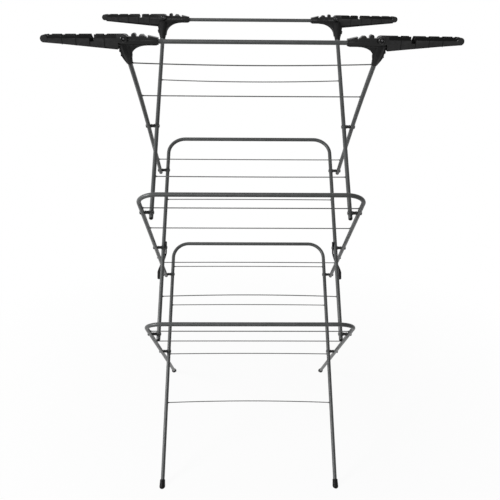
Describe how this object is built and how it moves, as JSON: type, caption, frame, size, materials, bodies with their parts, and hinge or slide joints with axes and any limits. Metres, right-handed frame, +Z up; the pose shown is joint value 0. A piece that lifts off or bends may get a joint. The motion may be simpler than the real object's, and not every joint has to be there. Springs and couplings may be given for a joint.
{
  "type": "clothes airer",
  "caption": "Free-standing concertina clothes airer with stacked folding tube frames, drying wires and notched hanger arms.",
  "frame": {"origin": "on the floor, under the middle of the standing airer", "axes": "+Z up, +Y to the back, +X to the right seen from the front"},
  "size_m": [0.9966, 0.6534, 1.374],
  "materials": {
    "tube": "satin hammered grey paint",
    "wire": "satin grey paint",
    "rivet": "blackened steel with black plastic spacers",
    "plastic": "fine-textured black plastic"
  },
  "bodies": {
    "lower_rear_frame": {"tier_1_rear_frame": "tube", "tier_1_rear_wire_1": "wire", "tier_1_rear_wire_2": "wire", "tier_1_rear_wire_3": "wire", "tier_1_rear_wire_4": "wire", "front_left_foot_cap": "plastic", "front_right_foot_cap": "plastic", "lower_crossing_left_pin": "rivet", "lower_crossing_right_pin": "rivet", "lower_rear_left_pin": "rivet", "lower_rear_right_pin": "rivet"},
    "lower_front_frame": {"tier_1_front_frame": "tube", "tier_1_front_wire_1": "wire", "tier_1_front_wire_2": "wire", "rear_left_foot_cap": "plastic", "rear_right_foot_cap": "plastic", "lower_front_left_pin": "rivet", "lower_front_right_pin": "rivet"},
    "middle_rear_frame": {"tier_2_rear_frame": "tube", "tier_2_rear_wire_1": "wire", "tier_2_rear_wire_2": "wire", "middle_crossing_left_pin": "rivet", "middle_crossing_right_pin": "rivet", "upper_rear_left_pin": "rivet", "upper_rear_right_pin": "rivet"},
    "middle_front_frame": {"tier_2_front_frame": "tube", "tier_2_front_wire_1": "wire", "tier_2_front_wire_2": "wire", "tier_2_front_wire_3": "wire", "left_lock_stud": "rivet", "right_lock_stud": "rivet", "upper_front_left_pin": "rivet", "upper_front_right_pin": "rivet"},
    "top_rear_frame": {"top_rear_left_leg": "tube", "top_rear_right_leg": "tube", "top_rear_rail": "tube", "top_rear_wire_1": "wire", "top_rear_wire_2": "wire", "rear_left_corner": "plastic", "rear_right_corner": "plastic", "rear_left_hinge_pin": "rivet", "rear_right_hinge_pin": "rivet", "upper_crossing_left_pin": "rivet", "upper_crossing_right_pin": "rivet"},
    "top_front_frame": {"top_front_left_leg": "tube", "top_front_right_leg": "tube", "top_front_rail": "tube", "top_front_wire_1": "wire", "top_front_wire_2": "wire", "top_front_wire_3": "wire", "front_left_corner": "plastic", "front_right_corner": "plastic", "front_left_hinge_pin": "rivet", "front_right_hinge_pin": "rivet"},
    "front_left_arm": {"front_left_arm": "plastic"},
    "front_right_arm": {"front_right_arm": "plastic"},
    "rear_left_arm": {"rear_left_arm": "plastic"},
    "rear_right_arm": {"rear_right_arm": "plastic"},
    "left_lock_lever": {"left_lock_lever": "plastic"},
    "right_lock_lever": {"right_lock_lever": "plastic"}
  },
  "joints": [
    {"name": "fold", "type": "hinge", "parent": "lower_rear_frame", "child": "lower_front_frame", "pos_m": [0, 0, 0.29943], "axis": [1, 0, 0], "range_deg": [0, 81]},
    {"name": "lower_front_pivot", "type": "hinge", "parent": "lower_front_frame", "child": "middle_rear_frame", "pos_m": [0, -0.20528, 0.49424], "axis": [1, 0, 0], "range_deg": [-81, 0]},
    {"name": "middle_crossing", "type": "hinge", "parent": "middle_rear_frame", "child": "middle_front_frame", "pos_m": [0, 0, 0.68904], "axis": [1, 0, 0], "range_deg": [0, 81]},
    {"name": "upper_front_pivot", "type": "hinge", "parent": "middle_front_frame", "child": "top_rear_frame", "pos_m": [0, -0.20528, 0.88385], "axis": [1, 0, 0], "range_deg": [-81, 0]},
    {"name": "upper_crossing", "type": "hinge", "parent": "top_rear_frame", "child": "top_front_frame", "pos_m": [0, 0, 1.07865], "axis": [1, 0, 0], "range_deg": [0, 81]},
    {"name": "front_left_arm_fold", "type": "hinge", "parent": "top_front_frame", "child": "front_left_arm", "pos_m": [-0.3035, -0.27513, 1.34624], "axis": [0, 1, 0], "range_deg": [0, 180]},
    {"name": "front_right_arm_fold", "type": "hinge", "parent": "top_front_frame", "child": "front_right_arm", "pos_m": [0.3035, -0.27513, 1.34624], "axis": [0, -1, 0], "range_deg": [0, 180]},
    {"name": "rear_left_arm_fold", "type": "hinge", "parent": "top_rear_frame", "child": "rear_left_arm", "pos_m": [-0.274, 0.29102, 1.36132], "axis": [0, 1, 0], "range_deg": [0, 180]},
    {"name": "rear_right_arm_fold", "type": "hinge", "parent": "top_rear_frame", "child": "rear_right_arm", "pos_m": [0.274, 0.29102, 1.36132], "axis": [0, -1, 0], "range_deg": [0, 180]},
    {"name": "left_lever_turn", "type": "hinge", "parent": "middle_rear_frame", "child": "left_lock_lever", "pos_m": [-0.275, 0, 0.68904], "axis": [-1, 0, 0], "range_deg": [-70, 0]},
    {"name": "right_lever_turn", "type": "hinge", "parent": "middle_rear_frame", "child": "right_lock_lever", "pos_m": [0.275, 0, 0.68904], "axis": [-1, 0, 0], "range_deg": [-70, 0]}
  ],
  "couplings": [
    {"joint": "lower_front_pivot", "follows": "fold", "ratio": -1},
    {"joint": "middle_crossing", "follows": "fold", "ratio": 1},
    {"joint": "upper_front_pivot", "follows": "fold", "ratio": -1},
    {"joint": "upper_crossing", "follows": "fold", "ratio": 1}
  ]
}
